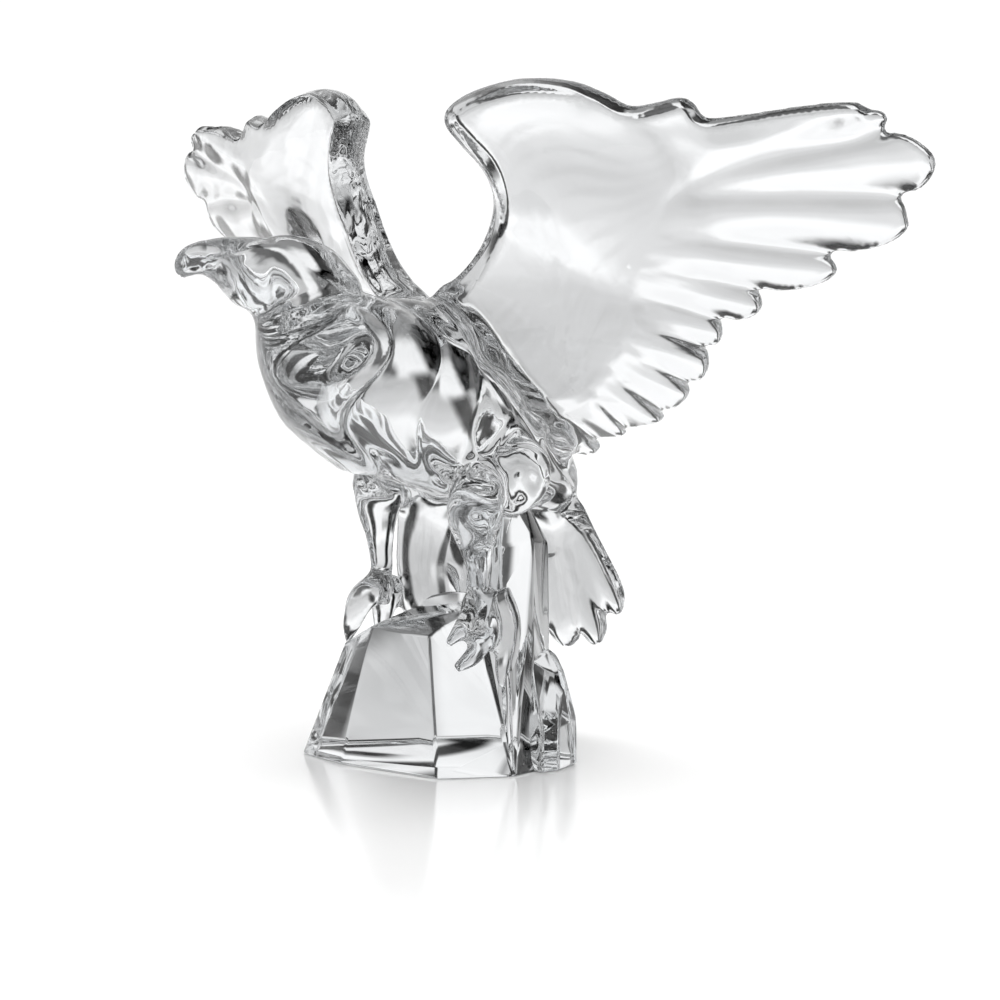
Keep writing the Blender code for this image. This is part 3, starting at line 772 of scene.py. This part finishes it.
def crystal_eagle():
    """The figurine as one closed body: a polished skin over the bird, fused with the rock."""
    shells = held("bird_shells", bird_shells())
    eagle = held("crystal_eagle_polished", shells.data.copy())
    skin = eagle.modifiers.new("one_skin", "REMESH")
    skin.mode = "VOXEL"
    skin.voxel_size = SKIN_VOXEL
    settle = eagle.modifiers.new("settle", "SHRINKWRAP")
    settle.wrap_method = "NEAREST_SURFACEPOINT"
    settle.target = shells
    skinned = apply_modifiers(eagle)
    bpy.data.objects.remove(shells, do_unlink=True)
    polish(skinned)
    flowing_lobes(skinned)
    thin = eagle.modifiers.new("thin", "DECIMATE")
    thin.ratio = SKIN_TRIANGLES / sum(len(face.vertices) - 2 for face in skinned.polygons)
    apply_modifiers(eagle)
    step_top = [(x * ROCK_WIDTH, y * ROCK_DEPTH, part * STEP_HEIGHT) for x, y, part in STEP_CROWN]
    perch_top = [tuple(on_perch(*corner)) for corner in PERCH_CROWN]
    pillar_top = [tuple(on_perch(*corner)) for corner in PILLAR_CROWN]
    rock = rock_block("rock_body", ROCK_FOOT, perch_top)
    fuse(rock, rock_block("rock_pillar", PILLAR_FOOT, pillar_top))
    fuse(rock, rock_block("rock_step", STEP_FOOT, step_top))
    fuse(eagle, rock)
    mesh = eagle.data
    low, high = (np.array(corner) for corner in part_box("crystal_eagle"))
    set_places(mesh, np.clip(read_places(mesh), low, high))
    mesh.shade_smooth()
    mesh.set_sharp_from_angle(angle=math.radians(ROCK_SHARP_ANGLE))
    mesh.update()
    return eagle


def clear_crystal(colour):
    """Lead crystal: clear, faintly grey in the thick, with a fire-polished ripple."""
    material = bpy.data.materials.new("clear_crystal")
    material.use_nodes = True
    nodes = material.node_tree.nodes
    links = material.node_tree.links
    shader = nodes["Principled BSDF"]
    shader.inputs["Base Color"].default_value = (*colour, 1.0)
    shader.inputs["Metallic"].default_value = 0.0
    shader.inputs["Transmission Weight"].default_value = 1.0
    shader.inputs["IOR"].default_value = REFRACTION
    place = nodes.new("ShaderNodeTexCoord")
    ripple = nodes.new("ShaderNodeTexNoise")
    ripple.inputs["Scale"].default_value = RIPPLES_PER_METRE
    ripple.inputs["Detail"].default_value = RIPPLE_DETAIL
    ripple.inputs["Roughness"].default_value = RIPPLE_ROUGHNESS
    links.new(place.outputs["Object"], ripple.inputs["Vector"])
    bump = nodes.new("ShaderNodeBump")
    bump.inputs["Strength"].default_value = RIPPLE_STRENGTH
    bump.inputs["Distance"].default_value = RIPPLE_HEIGHT
    links.new(ripple.outputs["Fac"], bump.inputs["Height"])
    links.new(bump.outputs["Normal"], shader.inputs["Normal"])
    haze = nodes.new("ShaderNodeMapRange")
    haze.inputs["From Min"].default_value = HAZE_STARTS
    haze.inputs["From Max"].default_value = HAZE_FULL
    haze.inputs["To Min"].default_value = 0.0
    haze.inputs["To Max"].default_value = HAZE_ROUGHNESS
    links.new(ripple.outputs["Fac"], haze.inputs["Value"])
    links.new(haze.outputs["Result"], shader.inputs["Roughness"])
    grey = nodes.new("ShaderNodeVolumeAbsorption")
    grey.inputs["Color"].default_value = THICK_GREY
    grey.inputs["Density"].default_value = GREY_DENSITY
    links.new(grey.outputs["Volume"], nodes["Material Output"].inputs["Volume"])
    return material


def pale_floor():
    """The polished white table top that the figurine stands on."""
    bm = bmesh.new()
    bmesh.ops.create_circle(bm, cap_ends=True, segments=FLOOR_SIDES, radius=FLOOR_RADIUS)
    mesh = bpy.data.meshes.new("pale_floor")
    bm.to_mesh(mesh)
    bm.free()
    floor = held("pale_floor", mesh)
    floor.location.z = -FLOOR_GAP
    floor.visible_transmission = False
    material = bpy.data.materials.new("polished_white")
    material.use_nodes = True
    shader = material.node_tree.nodes["Principled BSDF"]
    shader.inputs["Base Color"].default_value = FLOOR_WHITE
    shader.inputs["Roughness"].default_value = FLOOR_ROUGHNESS
    shader.inputs["Specular IOR Level"].default_value = FLOOR_GLOSS
    mesh.materials.append(material)


class Nodes:
    """Builds a node tree a node at a time: numbers go on sockets, sockets are linked."""

    def __init__(self, tree):
        self.tree = tree

    def put(self, value, socket):
        if isinstance(value, bpy.types.NodeSocket):
            self.tree.links.new(value, socket)
        else:
            socket.default_value = value

    def math(self, kind, *values):
        node = self.tree.nodes.new("ShaderNodeMath")
        node.operation = kind
        for value, socket in zip(values, node.inputs):
            self.put(value, socket)
        return node.outputs[0]

    def fade(self, value, start, end, low, high):
        node = self.tree.nodes.new("ShaderNodeMapRange")
        node.interpolation_type = "SMOOTHSTEP"
        for name, number in (("Value", value), ("From Min", start), ("From Max", end),
                             ("To Min", low), ("To Max", high)):
            self.put(number, node.inputs[name])
        return node.outputs["Result"]

    def ramp(self, value, stops):
        node = self.tree.nodes.new("ShaderNodeValToRGB")
        node.color_ramp.interpolation = "EASE"
        while len(node.color_ramp.elements) < len(stops):
            node.color_ramp.elements.new(0.5)
        for element, (place, level) in zip(node.color_ramp.elements, stops):
            element.position = place
            element.color = (level, level, level, 1.0)
        self.put(value, node.inputs["Fac"])
        return node.outputs["Color"]


def studio_light():
    """A white room with dark cards, a rail and narrow flags all round, and a soft box overhead."""
    world = bpy.data.worlds.new("studio")
    bpy.context.scene.world = world
    world.use_nodes = True
    nodes = Nodes(world.node_tree)
    place = world.node_tree.nodes.new("ShaderNodeTexCoord")
    split = world.node_tree.nodes.new("ShaderNodeSeparateXYZ")
    path = world.node_tree.nodes.new("ShaderNodeLightPath")
    nodes.put(place.outputs["Generated"], split.inputs["Vector"])
    east, north, height = (split.outputs[axis] for axis in "XYZ")
    level = nodes.math("MULTIPLY_ADD", height, 0.5, 0.5)
    around = nodes.math("ARCTAN2", east, north)
    wall = nodes.ramp(level, WALL_LIGHT)

    gap_turn = nodes.math("SUBTRACT", around, math.radians(RAIL_GAP_AT))
    gap_wave = nodes.math("COSINE", nodes.math("MULTIPLY", gap_turn, float(RAIL_GAPS)))
    closed = nodes.fade(gap_wave, RAIL_GAP_STARTS, RAIL_GAP_FULL, -1.0, 0.0)
    rail = nodes.math("MULTIPLY_ADD", nodes.ramp(level, RAIL_HEIGHTS), closed, 1.0)

    card_lean = nodes.math("MULTIPLY_ADD", height, CARD_LEAN, -CARD_MIDDLE * CARD_LEAN)
    card_turn = nodes.math("ADD", nodes.math("SUBTRACT", around, math.radians(CARD_AT)), card_lean)
    card_place = nodes.math("FRACT", nodes.math("MULTIPLY", card_turn, CARDS / (2 * math.pi)))
    card_shade = nodes.math("SUBTRACT", nodes.ramp(card_place, CARD_LEVELS), 1.0)
    card_high = nodes.fade(height, CARD_TOP_FULL, CARD_TOP_ENDS, 1.0, 0.0)
    cards = nodes.math("MULTIPLY_ADD", card_shade, card_high, 1.0)

    flag_lean = -FLAG_MIDDLE * FLAG_LEAN - math.radians(FLAG_AT)
    flag_turn = nodes.math("MULTIPLY_ADD", height, FLAG_LEAN, flag_lean)
    flag_turn = nodes.math("MULTIPLY", nodes.math("ADD", around, flag_turn), float(FLAGS))
    flag_shade = nodes.fade(nodes.math("COSINE", flag_turn), FLAG_STARTS, FLAG_FULL, 0.0, 1.0)
    flag_high = nodes.fade(height, CARD_TOP_FULL, CARD_TOP_ENDS, 0.0, 1.0)
    flag_shade = nodes.math("MULTIPLY", flag_shade, flag_high)
    through_glass = nodes.math("MULTIPLY", path.outputs["Is Transmission Ray"], FLAG_LEVEL - 1.0)
    flags = nodes.math("MULTIPLY_ADD", flag_shade, through_glass, 1.0)

    soft_box = nodes.fade(height, SOFT_BOX_STARTS, SOFT_BOX_FULL, 0.0, SOFT_BOX_LIGHT)
    soft_box = nodes.math("MULTIPLY", soft_box, path.outputs["Is Diffuse Ray"])
    shade = nodes.math("MULTIPLY", nodes.math("MULTIPLY", rail, cards), flags)
    room = nodes.math("MULTIPLY", nodes.math("MULTIPLY", wall, shade), ROOM_LIGHT)
    room = nodes.math("ADD", room, soft_box)
    backdrop = nodes.math("MULTIPLY", path.outputs["Is Camera Ray"], BACKDROP_LIGHT)
    unseen = nodes.math("SUBTRACT", 1.0, path.outputs["Is Camera Ray"])
    background = world.node_tree.nodes["Background"]
    background.inputs["Color"].default_value = (1.0, 1.0, 1.0, 1.0)
    nodes.put(nodes.math("MULTIPLY_ADD", room, unseen, backdrop), background.inputs["Strength"])


def camera():
    """The camera, where the photograph was taken from."""
    azimuth = math.radians(CAMERA_AZIMUTH)
    elevation = math.radians(CAMERA_ELEVATION)
    back = Vector((math.sin(azimuth) * math.cos(elevation), -math.cos(azimuth) * math.cos(elevation),
                   math.sin(elevation)))
    data = bpy.data.cameras.new("camera")
    data.lens = CAMERA_LENS
    data.sensor_width = CAMERA_SENSOR
    data.clip_start = CAMERA_NEAR
    data.clip_end = CAMERA_FAR
    holder = bpy.data.objects.new("camera", data)
    bpy.context.scene.collection.objects.link(holder)
    holder.location = CAMERA_AIM + back * CAMERA_AWAY
    holder.rotation_mode = "QUATERNION"
    holder.rotation_quaternion = (-back).to_track_quat("-Z", "Y")
    bpy.context.scene.camera = holder


def main():
    eagle = crystal_eagle()
    finish = frame["record"]["materials"][0]
    eagle.data.materials.clear()
    eagle.data.materials.append(clear_crystal(finish["base_color"]))
    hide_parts("crystal_eagle")
    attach(eagle, "root")
    pale_floor()
    studio_light()
    camera()
    scene = bpy.context.scene
    scene.view_settings.view_transform = "Standard"
    scene.cycles.max_bounces = LIGHT_BOUNCES
    scene.cycles.transmission_bounces = LIGHT_BOUNCES
    scene.cycles.glossy_bounces = LIGHT_BOUNCES


main()
